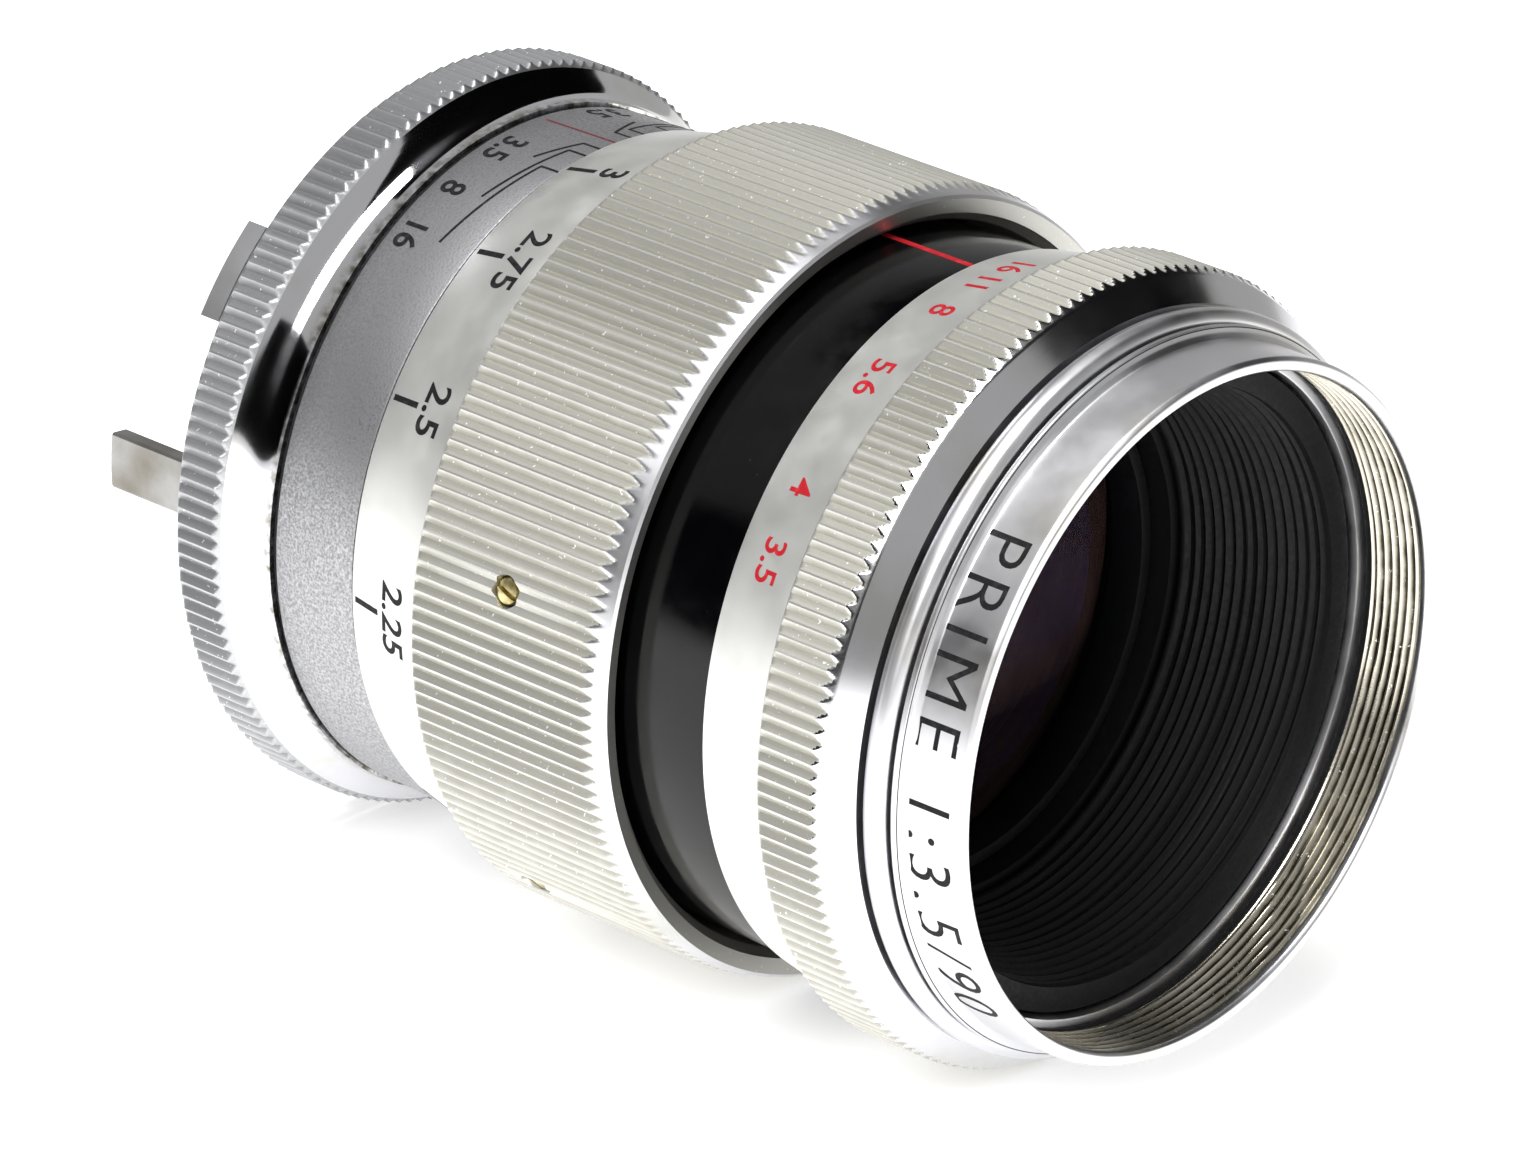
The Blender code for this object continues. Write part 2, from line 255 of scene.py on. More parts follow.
satin = turned_aluminium("satin_turned_aluminium", "cfcfd2", 0.34, 0.05, 0.0012, "bfbebb")
seat = ring("rear_seat_and_tunnel", rounded([
    (13.2, 0), (17.5, 0), (17.5, 2.2), (17, 2.2), (17, 3.4), (17.5, 3.4), (17.5, 16.6),
    (16.95, 16.6), (16.95, 6), (14.6, 6), (14.6, 22), (13.2, 22),
]), satin)
tongue_slot = wedge("tongue_slot", (15.2, 16.9), (84, 98), (-1, 7), satin)
belongs(shape_by(seat, tongue_slot, "DIFFERENCE"), "mount", "satin_aluminium", "mount_base")

# The locking ring: aluminium, with 152 straight knurled teeth cut across its rim, and a
# hollow neck in front of them that is polished to a mirror. Towards its foot the neck turns a darker olive
# brown, in patches.

KNURL_CREST = 0.13
KNURL_SHARES = np.array([0, KNURL_CREST, 0.24, 0.4, 0.565, 0.73, 0.89])
HOLLOW_POWER = 1.15


def knurl_angles(teeth):
    """The angles of the knurl's columns: each tooth has a narrow flat crest and a hollow."""
    return ((np.arange(teeth)[:, None] + KNURL_SHARES) * 2 * np.pi / teeth).ravel()


def hollow_of(angle, teeth):
    """How deep in its groove a point is, from 0 on the crest to 1 in the middle of the hollow.

    It is one less the distance from the middle of the hollow, to a power that rounds its foot.
    """
    share = (angle * teeth / (2 * np.pi)) % 1
    hollow = np.clip((share - KNURL_CREST) / (1 - KNURL_CREST), 0, 1)
    return 1 - np.abs(2 * hollow - 1) ** HOLLOW_POWER


def knurled(teeth, crest, depth, stations):
    """Relief and groove functions of a knurl: the teeth's surface where it is below the turned one.

    The groove is the square root of how far the turned surface stood above the teeth's.
    """
    def cut_at(angle):
        return crest - depth * hollow_of(angle, teeth)

    def within(s):
        return (s > stations[0]) & (s < stations[1])

    def relief(r, s, t):
        return np.where(within(s) & (r > crest - 1.6 * depth), np.minimum(r, cut_at(t)), r)

    def groove(r, s, t):
        return np.where(within(s), np.clip((r - cut_at(t)) / depth + 0.02, 0, 1) ** 0.5, 0.0)

    return {"relief": relief, "groove": groove, "angles": knurl_angles(teeth)}


def knurled_aluminium(name, crest_colour, groove_colour, roughness):
    """Knurled bar: bright rubbed crests, a few bright specks, and hollows painted darker the deeper they sit:
    painted shade, made uneven in patches by a film of grime.
    """
    finish, tree, shader = new_finish(name, Metallic=1.0, Roughness=roughness)
    groove = add_node(tree, "ShaderNodeAttribute", attribute_name="groove").outputs["Fac"]
    film = speckle(tree, 900, 4.0)
    patches = level_of(tree, film, 0.3, 0.7, 0.75, 1.1)
    hollow_shade_and_grime = add_node(tree, "ShaderNodeMath", {0: groove, 1: patches},
                      operation="MULTIPLY", use_clamp=True).outputs["Value"]
    # The hollows' darker colour is painted shade, with patches of grime.
    colour = blend_of(tree, hollow_shade_and_grime, crest_colour, groove_colour, 0.1, 0.75)
    specks = level_of(tree, speckle(tree, 4600, 1.0), 0.725, 0.75, 0.0, 0.8)
    flecked = add_node(tree, "ShaderNodeMix", {"Factor": specks, "A": colour, "B": linear("ffffff")},
                       data_type="RGBA")
    tree.links.new(flecked.outputs["Result"], shader.inputs["Base Color"])
    tree.links.new(level_of(tree, hollow_shade_and_grime, 0.0, 1.0, roughness, roughness + 0.2), shader.inputs["Roughness"])
    relieve(tree, shader, speckle(tree, 9000, 3.0), 0.006)
    return finish


# The second colour of each knurl is that of its hollows: painted shade with a film of grime.
grip_finish = knurled_aluminium("knurled_aluminium", "d4d3cd", "b4b2a9", 0.4)
lock_finish = knurled_aluminium("knurled_grey_aluminium", "b9babc", "99999b", 0.4)
LOCK_TEETH = 152
LOCK_CREST = 20.3
LOCK_TOOTH_DEPTH = 0.26
NECK_DROP = 1.25
NECK_HOLLOW = 0.4
SEAM = (4.75, 5.4)


def cove(radius, rear, width):
    """The hollow neck's profile: a straight slope less half a sine wave of the hollow's depth."""
    share = np.linspace(0, 1, 13)
    r = radius - NECK_DROP * share - NECK_HOLLOW * np.sin(np.pi * share)
    return list(zip(r, rear + width * share))


lock_profile = [
    (17.8, 0.1), (19.95, 0.05), (LOCK_CREST, 0.4), (LOCK_CREST, 2.85), *cove(19.95, 3.15, 2.3), (17.8, 5.45),
]
lock_rim = ring("locking_ring", finer(np.array(lock_profile), 0.16, 18.8), lock_finish,
                **knurled(LOCK_TEETH, LOCK_CREST, LOCK_TOOTH_DEPTH, (-0.1, 3.6)))
belongs(lock_rim, "lock_ring", "knurled_aluminium", "lock_ring")
chrome = turned_aluminium("mirror_polished_aluminium", "e4e4e8", 0.07, 0.12, 0.0004, "d6d4cc")
tree = chrome.node_tree
shader = tree.nodes["Principled BSDF"]
place = add_node(tree, "ShaderNodeTexCoord").outputs["Object"]
across = add_node(tree, "ShaderNodeSeparateXYZ", {"Vector": place}).outputs["Y"]
# Towards the neck's foot, from 4.75 to 5.4 mm, its colour is made a darker olive brown in patches.
at_foot = level_of(tree, across, -SEAM[0] * MM, -SEAM[1] * MM, 0, 1)
patches = level_of(tree, speckle(tree, 1900, 5.0), 0.36, 0.66, 0, 0.9)
foot_darkening = add_node(tree, "ShaderNodeMath", {0: at_foot, 1: patches}, operation="MULTIPLY").outputs["Value"]
plain_neck_colour = shader.inputs["Base Color"].links[0].from_socket
darkened_foot = add_node(tree, "ShaderNodeMix", {"Factor": foot_darkening, "A": plain_neck_colour, "B": linear("5c5638")}, data_type="RGBA")
tree.links.new(darkened_foot.outputs["Result"], shader.inputs["Base Color"])
neck_skin = ring("polished_neck", [*cove(19.97, 3.17, 2.29), (18.4, 5.47), (18.4, 4.2)], chrome)
belongs(neck_skin, "lock_ring", "polished_aluminium")

# The bayonet ring behind it: bright turned aluminium with three milled lugs, which turn
# behind the camera's claws. It is screwed to the locking ring from behind.

LUG_MIDDLES = (51.7, 171.7, 291.7)
LUG_HALF_SPAN = 8
bayonet = ring("bayonet_ring", rounded([
    (17.95, -0.9), (18.9, -0.9), (18.9, -0.3), (17.95, -0.3),
], 0.1), satin)
for middle in LUG_MIDDLES:
    span = (middle - LUG_HALF_SPAN, middle + LUG_HALF_SPAN)
    lug = wedge("bayonet_lug", (18.3, 19.6), span, (-1.6, -0.35), satin)
    shape_by(bayonet, lug, "UNION")
belongs(bayonet, "lock_ring", "satin_aluminium", "bayonet_ring")

# The depth-of-field ring: aluminium blasted with fine beads to a grey that doesn't glare, with
# the index line in dark red and black engraved numbers. It is fixed to the mount.

DOF_FACE = ((18.55, 5.72), (18.66, 11.25))
blasted, tree, shader = new_finish("bead_blasted_aluminium", Metallic=1.0, Roughness=0.5)
# The beads' marks are drawn at 0.14 mm, coarser than they are, so that they show.
beads = speckle(tree, 7000, 2.0)
tree.links.new(blend_of(tree, beads, "8e8e91", "b8b8ba", 0.35, 0.7), shader.inputs["Base Color"])
tree.links.new(level_of(tree, beads, 0.4, 0.75, 0.52, 0.32), shader.inputs["Roughness"])
relieve(tree, shader, beads, 0.012)
dof_ring = ring("depth_of_field_ring", rounded([(17.8, 5.72), *DOF_FACE, (17.8, 11.25)], 0.12), blasted)
belongs(dof_ring, "mount", "blasted_aluminium", "dof_scale_ring")


def filling(name, colour):
    """Enamel rubbed into an engraving: nearly flat, slightly uneven, with worn thin spots."""
    finish, tree, shader = new_finish(name, Roughness=0.6, Specular_IOR_Level=0.2)
    worn = speckle(tree, 2500, 4.0)
    lighter = "".join(f"{min(255, int(colour[i:i + 2], 16) + 22):02x}" for i in (0, 2, 4))
    tree.links.new(blend_of(tree, worn, lighter, colour, 0.32, 0.5), shader.inputs["Base Color"])
    return finish


black_filling = filling("black_engraving_enamel", "0b0b0d")
red_filling = filling("red_engraving_enamel", "94101a")
dark_red_filling = filling("dark_red_engraving_enamel", "5a1c22")
FILL_SUNK = -0.02
FILL_PROUD = 0.012
STROKE_STEPS = 8
CAPITAL_SHARE = 0.73


def side_of(ends):
    """The radius, as a function of station, of the straight side between two (radius, station) points."""
    (r0, s0), (r1, s1) = ends
    return lambda station: r0 + (r1 - r0) * (station - s0) / (s1 - s0)


def wrapped(flat, surface):
    """Points (angle in degrees, station, 0 or 1) laid on the surface: 0 is sunk in it, 1 stands proud."""
    angle, station, top = flat.T
    r = surface(station) + np.where(top > 0.5, FILL_PROUD, FILL_SUNK)
    t = np.radians(angle)
    return np.stack((-r * np.sin(t), -station, r * np.cos(t)), -1) * MM


def stroke(name, angles, stations, width, surface, finish):
    """A line of one width in millimetres, from one (angle, station) to another, bent over the surface."""
    share = np.linspace(0, 1, STROKE_STEPS + 1)[:, None]
    angle = angles[0] + (angles[1] - angles[0]) * share
    station = stations[0] + (stations[1] - stations[0]) * share
    per_degree = np.radians(1) * surface(np.mean(stations))
    along = np.array([(angles[1] - angles[0]) * per_degree, stations[1] - stations[0]])
    side = np.array([-along[1], along[0]]) / np.linalg.norm(along) * width / 2
    corner = np.array([-1, 1, 1, -1])
    top = np.array([0, 0, 1, 1])
    flat = np.stack(np.broadcast_arrays(
        angle + corner * side[0] / per_degree, station + corner * side[1], top), -1).reshape(-1, 3)
    return solid(name, wrapped(flat, surface), bar_faces(STROKE_STEPS), finish)


def lettering(name, words, angle, station, height, surface, finish, weight=0.0, spacing=1.0, stretch=1.0):
    """Figures with their feet to the rear, bent over the surface. height is that of a capital.

    A text's x, times stretch, runs round the ring from its centre, and its y towards the front.
    """
    text = bpy.data.curves.new(name, "FONT")
    text.body = words
    text.size = height / CAPITAL_SHARE
    text.align_x = "CENTER"
    text.extrude = 0.5  # it only tells the face that stands proud from the one that is sunk
    text.offset = weight
    text.space_character = spacing
    text.resolution_u = 4
    source = bpy.data.objects.new(name, text)
    bpy.context.scene.collection.objects.link(source)
    graph = bpy.context.evaluated_depsgraph_get()
    mesh = bpy.data.meshes.new_from_object(source.evaluated_get(graph))
    bpy.data.objects.remove(source)
    co = np.empty(len(mesh.vertices) * 3)
    mesh.vertices.foreach_get("co", co)
    x, y, z = co.reshape(-1, 3).T
    degrees = angle + stretch * x / (np.radians(1) * surface(station))
    placed = wrapped(np.stack((degrees, station + y - height / 2, z > 0), -1), surface)
    mesh.vertices.foreach_set("co", placed.ravel())
    mesh.materials.clear()
    mesh.materials.append(finish)
    mesh.update()
    piece = bpy.data.objects.new(name, mesh)
    bpy.context.scene.collection.objects.link(piece)
    return piece


def joined(name, strokes, body, slot):
    """Strokes and figures made one piece that rides on a body."""
    with bpy.context.temp_override(active_object=strokes[0], selected_editable_objects=strokes):
        bpy.ops.object.join()
    piece = strokes[0]
    piece.name = name
    return belongs(piece, body, slot)


dof_surface = side_of(DOF_FACE)
# Each stop's line starts at the first angle, at the ring's front edge, and bends to the second.
stops = {"3.5": (3.7, 11.8), "8": (7.0, 24.0), "16": (13.4, 34.7)}
marks = []
for side in (1, -1):
    for words, angles in stops.items():
        near, far = (side * angle for angle in angles)
        figure = side * (angles[1] + 0.2)
        marks.append(lettering("stop", words, figure, 7.1, 1.5, dof_surface, black_filling, 0.03))
        marks.append(stroke("stub", (near, near), (11.2, 10.0), 0.16, dof_surface, black_filling))
        marks.append(stroke("lead", (near, far), (10.05, 9.0), 0.16, dof_surface, black_filling))
joined("depth_of_field_figures", marks, "mount", "black_enamel")
index = stroke("index_line", (0, 0), (6.3, 11.2), 0.14, dof_surface, dark_red_filling)
belongs(index, "mount", None)

# The distance skirt: a bright satin cone in front of the blasted ring, screwed to the knurled
# grip. Its metres are engraved and filled with black. The helicoid's lead spaces them.

FOCAL = 90
FILM_TO_LENS = 0.1
LEAD_DEGREES = 76.8
REST_METRES = 3.17


def extension(metres):
    """The barrel's travel from infinity, in mm: f squared over (subject distance less f).

    An engraved distance is from the film, and the formula's is from the lens, 0.1 m nearer.
    """
    return FOCAL ** 2 / (1000 * (metres - FILM_TO_LENS) - FOCAL)


def scale_angle(metres):
    """Where a distance is engraved: the angle that brings it to the index is its extension's."""
    return LEAD_DEGREES * (extension(metres) - extension(REST_METRES))


SKIRT = ((18.85, 11.45), (20.05, 17.15))
TICK = (11.75, 13.7)
TICK_WIDTH = 0.32
skirt_surface = side_of(SKIRT)
skirt_finish = turned_aluminium("bright_satin_aluminium", "e6e6e3", 0.42, 0.07, 0.0014, "dadad6")
skirt = ring("distance_skirt", rounded([
    (17.85, 11.45), *SKIRT, (18.65, 17.15), (18.65, 16.75), (17.85, 16.65),
], 0.1), skirt_finish)
belongs(skirt, "focus_ring", "satin_aluminium", "distance_scale_ring")
marks = []
for metres in (2, 2.25, 2.5, 2.75, 3, 3.5, 4, 5, 7, 10, 20):
    place = scale_angle(metres)
    marks.append(stroke("tick", (place, place), TICK, TICK_WIDTH, skirt_surface, black_filling))
    marks.append(lettering("metres", f"{metres:g}", place, 15.0, 1.75, skirt_surface, black_filling, 0.03))
place = -LEAD_DEGREES * extension(REST_METRES)
marks.append(stroke("tick", (place, place), TICK, TICK_WIDTH, skirt_surface, black_filling))
marks.append(lettering("infinity", "∞", place, 15.0, 2.1, skirt_surface, black_filling, 0.03))
joined("distance_figures", marks, "focus_ring", "black_enamel")

# The focusing grip: a wide aluminium band with 166 knurled teeth. A bright bevel and a thin
# grey rim finish its front, around the dark recess that the barrel slides in.

GRIP_TEETH = 166
GRIP_CREST = 21.05
GRIP_TOOTH_DEPTH = 0.22


def straight_teeth(profile, crest, rear, front):
    """The profile without its points on the crest between two stations, where the teeth are straight."""
    on_crest = profile[:, 0] > crest - 0.01
    return profile[~(on_crest & (profile[:, 1] >= rear) & (profile[:, 1] <= front))]


grip_profile = np.array([
    (19.3, 17.3), (20.6, 17.3), (GRIP_CREST, 17.75), (GRIP_CREST, 29.25), (20.72, 30.5), (20.55, 30.62),
    (19.75, 30.4), (19.6, 30.2), (19.3, 29.9),
])
grip_profile = straight_teeth(finer(grip_profile, 0.15, 20), GRIP_CREST, 18, 29.1)
grip = ring("focusing_grip", grip_profile, grip_finish,
            **knurled(GRIP_TEETH, GRIP_CREST, GRIP_TOOTH_DEPTH, (17.2, 30.3)))
WORN_CREST = 0.35


def refinish(piece, finish, stations, radii=(0, 99), crests_only=False):
    """The faces whose middles lie between two stations and two radii get another finish.

    With crests_only, faces in a knurl's hollows keep the finish they have.
    """
    middle = np.empty(len(piece.data.polygons) * 3)
    piece.data.polygons.foreach_get("center", middle)
    x, y, z = middle.reshape(-1, 3).T / MM
    index = np.empty(len(x), np.int32)
    piece.data.polygons.foreach_get("material_index", index)
    r = np.hypot(x, z)
    chosen = (-y > stations[0]) & (-y < stations[1]) & (r > radii[0]) & (r < radii[1])
    if crests_only:
        depth = np.empty(len(piece.data.vertices))
        piece.data.attributes["groove"].data.foreach_get("value", depth)
        corner = np.empty(len(piece.data.loops), np.int32)
        piece.data.loops.foreach_get("vertex_index", corner)
        chosen &= depth[corner].reshape(-1, 4).mean(1) < WORN_CREST
    piece.data.materials.append(finish)
    index[chosen] = len(piece.data.materials) - 1
    piece.data.polygons.foreach_set("material_index", index)


grip_bevel = turned_aluminium("fine_turned_aluminium", "dddde0", 0.33, 0.08, 0.0008, "cfcfcc")
refinish(grip, grip_bevel, (29.35, 31), (20.5, 22), crests_only=True)
belongs(grip, "focus_ring", "knurled_aluminium", "focus_grip")

# Three brass grub screws lock the grip to the helicoid nut. Each is a short turned pin with
# a saw slot and a domed edge, and stands in a hole between the teeth. The brass has dulled to
# brown in patches.

brass, tree, shader = new_finish("tarnished_brass", Metallic=1.0, Roughness=0.3)
tarnish = speckle(tree, 1800, 5.0)
tree.links.new(blend_of(tree, tarnish, "7f7244", "d8cb98", 0.36, 0.6), shader.inputs["Base Color"])
tree.links.new(level_of(tree, tarnish, 0.3, 0.7, 0.5, 0.22), shader.inputs["Roughness"])
relieve(tree, shader, speckle(tree, 6000, 2.0), 0.01)
PIN_SIDES = 32


def radial_pin(name, profile, angle, station, turn, finish):
    """A profile of (radius, height) turned about a line that points away from the axis at this angle."""
    r, h = (np.repeat(side[:, None], PIN_SIDES, 1) for side in np.array(profile, float).T)
    t = np.repeat((np.arange(PIN_SIDES) * 2 * np.pi / PIN_SIDES)[None], len(r), 0)
    local = np.stack((r * np.cos(t), r * np.sin(t), h), -1).reshape(-1, 3)
    return solid(name, stood(local, angle, station, turn), grid_faces(*t.shape), finish)


def stood(local, angle, station, turn):
    """Local points whose Z is the outward line at this angle and station, turned about that line."""
    matrix = np.array(Matrix.Rotation(-np.radians(angle), 3, "Y") @ Matrix.Rotation(turn, 3, "Z"))
    return (local @ matrix.T + np.array([0, -station, 0])) * MM


TINY = 0.001
SCREW_HEAD = ((TINY, 19.4), (0.72, 19.4), (0.72, 20.72), (0.64, 20.88), (0.45, 20.95), (TINY, 20.97))
HOLE = ((TINY, 19.1), (0.8, 19.1), (0.8, 20.75), (0.95, 21.3), (TINY, 21.3))
SAW_HALF_WIDTH = 0.13
SAW_HEIGHTS = (20.62, 22)
SCREWS = ((80, 23.65, 1.2), (137, 20.6, 0.2), (260, 23.65, 2.2))
for number, (angle, station, turn) in enumerate(SCREWS):
    screw = radial_pin(f"brass_grub_screw_{number + 1}", SCREW_HEAD, angle, station, turn, brass)
    side = np.array([(-2, -1), (2, -1), (2, 1), (-2, 1)]) * (1, SAW_HALF_WIDTH)
    corner = np.vstack([np.column_stack((side, np.full(4, height))) for height in SAW_HEIGHTS])
    box = np.array([[0, 3, 2, 1], [4, 5, 6, 7], [0, 1, 5, 4], [1, 2, 6, 5], [2, 3, 7, 6], [3, 0, 4, 7]])
    saw_cut = solid("saw_cut", stood(corner, angle, station, turn), box, brass)
    belongs(shape_by(screw, saw_cut, "DIFFERENCE"), "focus_ring", "brass", f"grub_screw_{number + 1}")
    shape_by(grip, radial_pin("screw_hole", HOLE, angle, station, 0, grip_finish), "DIFFERENCE")

# The barrel tube: turned aluminium under gloss black enamel, with the aperture index as a
# thick red line. The enamel is deep and smooth, with a little dust and fine scratches.

enamel, tree, shader = new_finish("gloss_black_enamel", Roughness=0.12, IOR=1.38)
dust = speckle(tree, 5200, 2.0)
tree.links.new(blend_of(tree, dust, "020203", "2a2a2c", 0.74, 0.82), shader.inputs["Base Color"])
tree.links.new(level_of(tree, speckle(tree, 500, 4.0), 0.3, 0.7, 0.1, 0.24), shader.inputs["Roughness"])
relieve(tree, shader, speckle(tree, 900, 2.0), 0.002)
TUBE_FACE = ((18.95, 27.6), (18.95, 35.6))
tube = ring("black_barrel_tube", rounded([
    (16.9, 27.6), *TUBE_FACE, (18, 35.6), (18, 46), (16.9, 46),
], 0.06), enamel)
pin_slot = wedge("pin_slot", (16, 19), (111.5, 185.5), (36.3, 37.5), enamel, 24)
belongs(shape_by(tube, pin_slot, "DIFFERENCE"), "barrel", "black_enamel", "barrel_tube")
aperture_index = stroke("aperture_index", (0, 0), (28.2, 35.5), 0.42, side_of(TUBE_FACE), red_filling)
belongs(aperture_index, "barrel", None)

# The aperture ring: a satin skirt with red figures, a narrow knurled band of 162 teeth and a
# wide polished bevel that turns down to the front ring.

APERTURE_TEETH = 162
APERTURE_CREST = 20.98
APERTURE_SKIRT = ((19.41, 35.95), (20.15, 40.35))
aperture_surface = side_of(APERTURE_SKIRT)
aperture_profile = np.array([
    (18.3, 36), *APERTURE_SKIRT, (20.5, 40.5), (APERTURE_CREST, 40.95), (APERTURE_CREST, 44.3),
    (20.7, 44.85), (19.5, 46.05), (18.3, 46.05),
])
aperture_profile = straight_teeth(finer(aperture_profile, 0.13, 19), APERTURE_CREST, 41.1, 44.15)
aperture = ring("aperture_ring", aperture_profile, grip_finish,
                **knurled(APERTURE_TEETH, APERTURE_CREST, GRIP_TOOTH_DEPTH, (40.4, 45.4)))
refinish(aperture, skirt_finish, (35, 40.45))
polished_bevel = turned_aluminium("polished_bevel_aluminium", "dadadd", 0.16, 0.1, 0.0006, "cfcfcc")
refinish(aperture, polished_bevel, (44.35, 47), crests_only=True)
belongs(aperture, "aperture_ring", "knurled_aluminium", "aperture_ring")
stop_angles = {"3.5": 62.9, "4": 51.6, "5.6": 32.2, "8": 16.6, "11": 7.6, "16": 0.2}
marks = []
for words, angle in stop_angles.items():
    marks.append(lettering("stop", words, angle, 38.25, 1.5, aperture_surface, red_filling, 0.02))
joined("aperture_figures", marks, "aperture_ring", None)

# The front ring and the name ring: polished aluminium, in steps, screwed to the barrel. The
# name ring has a plain engraved legend outside and the 0.5 mm filter thread inside. Behind the
# thread its wall has the baffle's matt, slightly grainy black lacquer.

bright = turned_aluminium("bright_turned_aluminium", "dadadd", 0.34, 0.06, 0.0008, "cfcdc6")
baffle_black, tree, shader = new_finish("matt_black_lacquer", Specular_IOR_Level=0.3)
grain = speckle(tree, 4000, 3.0)
tree.links.new(blend_of(tree, grain, "030304", "0d0d10", 0.3, 0.75), shader.inputs["Base Color"])
tree.links.new(level_of(tree, grain, 0.3, 0.7, 0.48, 0.7), shader.inputs["Roughness"])
relieve(tree, shader, grain, 0.008)
front_ring = ring("front_ring", rounded([
    (17.25, 46.3), (19.35, 46.3), (19.55, 46.75), (19.45, 47.25), (19.1, 47.55), (17.25, 47.5),
], 0.14), bright)
belongs(front_ring, "barrel", "polished_aluminium", "front_ring")
THREAD_PITCH = 0.5
THREAD_DEPTH = 0.27
THREAD_STATIONS = (48.1, 51.25)


def thread_depth(r, s, t):
    """A V thread, from 0 to 1: its depth follows the distance to the nearest turn of a helix."""
    phase = ((s - THREAD_STATIONS[0]) / THREAD_PITCH - t / (2 * np.pi)) % 1
    fade = np.clip((s - THREAD_STATIONS[0]) / 0.3, 0, 1) * np.clip((THREAD_STATIONS[1] - s) / 0.15, 0, 1)
    return np.where(r < 17.7, (1 - np.abs(2 * phase - 1)) * fade, 0.0)


def thread_relief(r, s, t):
    """The inner wall with the thread cut into it."""
    return r + THREAD_DEPTH * thread_depth(r, s, t)


NAME_FACE = ((18.4, 48.45), (18.36, 51.5))
name_profile = np.array([
    (17.62, 47.75), (18.95, 47.75), (18.95, 48.05), (18.62, 48.2), *NAME_FACE,
    (18.2, 51.75), (17.75, 51.75), (17.62, 51.55),
])
name_ring = ring("name_ring", finer(rounded(name_profile, 0.07), 0.0625), bright,
                 relief=thread_relief, groove=thread_depth)
# The thread's roots are painted near black: painted shade between its ridges.
threaded = knurled_aluminium("threaded_aluminium", "e6e0d0", "3c382e", 0.22)
refinish(name_ring, threaded, THREAD_STATIONS, (17, 17.95))
refinish(name_ring, baffle_black, (47, THREAD_STATIONS[0]), (17, 18.9))
belongs(name_ring, "barrel", "polished_aluminium", "name_ring")
legend = lettering("name_ring_legend", "PRIME 1:3,5/90", 89.5, 49.75, 2.9, side_of(NAME_FACE),
                   black_filling, weight=-0.035, spacing=1.2, stretch=0.96)
belongs(legend, "barrel", "black_enamel")

# The grooved baffle: a black cone behind the thread, cut with fine steps that stop light from
# glancing off its wall.

BAFFLE_PITCH = 0.6
BAFFLE_CUT = 0.24
BAFFLE_STATIONS = (38.6, 46.7)
BAFFLE_WALL = ((14.2, 38.4), (15.7, 47.1))


def baffle_relief(r, s, t):
    """The cone's wall cut into grooves, each a trapezium as wide as the pitch and as deep as the cut."""
    first, last = BAFFLE_STATIONS
    phase = ((s - first) / BAFFLE_PITCH) % 1
    inside = (np.abs(r - side_of(BAFFLE_WALL)(s)) < 0.1) & (s > first) & (s < last)
    return np.where(inside, r + BAFFLE_CUT * np.clip(1.4 * (1 - np.abs(2 * phase - 1)), 0, 1), r)


baffle_profile = np.array([
    BAFFLE_WALL[0], (14.8, 38.4), (16.2, 46.4), (17, 46.4), (17, 47.1), BAFFLE_WALL[1],
])
baffle = ring("grooved_baffle", finer(baffle_profile, 0.085), baffle_black, relief=baffle_relief, turns=192)
belongs(baffle, "barrel", "matt_black", "grooved_baffle")

# The optic tube and its black retaining rings, seen behind the baffle and from the rear. The
# mount's tunnel is blackened too.

refinish(seat, baffle_black, (0.1, 22), (13, 13.4))

optic_tube = ring("optic_tube", rounded([
    (13.9, 25.3), (14.7, 25.3), (14.7, 37.8), (16.6, 37.8),
    (16.6, 38.9), (15.2, 38.9), (15.2, 38), (13.9, 38),
], 0.1), baffle_black)
arm_slot = wedge("arm_slot", (13.2, 15.4), (111.5, 185.5), (27.9, 28.9), baffle_black, 24)
belongs(shape_by(optic_tube, arm_slot, "DIFFERENCE"), "barrel", "matt_black", "optic_tube")
front_retainer = ring("front_retaining_ring", rounded([
    (12.9, 34.9), (13.6, 34.9), (13.6, 36.9), (12.9, 36.9),
]), baffle_black)
belongs(front_retainer, "barrel", "matt_black", "front_retaining_ring")
rear_cell = ring("rear_cell", rounded([
    (11.1, 19.6), (12.7, 19.6), (12.7, 24.8), (14.6, 24.8), (14.6, 25.05), (11.1, 25.05),
]), baffle_black)
belongs(rear_cell, "barrel", "matt_black", "rear_cell")
rear_retainer = ring("rear_retaining_ring", rounded([
    (9.9, 20.2), (10.9, 20.2), (10.9, 21.6), (9.9, 21.6),
]), baffle_black)
belongs(rear_retainer, "barrel", "matt_black", "rear_retaining_ring")

# The glasses: polished optical glass with a single-layer coating, which gives the surfaces a
# faint purple-blue sheen. Their edges sit in the cells.

COATING_NANOMETRES = 125.0
coated, tree, shader = new_finish("coated_optical_glass", Roughness=0.0, IOR=1.62, Transmission_Weight=1.0,
                                  Thin_Film_Thickness=COATING_NANOMETRES, Thin_Film_IOR=1.38)
haze = speckle(tree, 300, 3.0)
tree.links.new(blend_of(tree, haze, "8c82a6", "aaa2bc", 0.3, 0.7), shader.inputs["Base Color"])


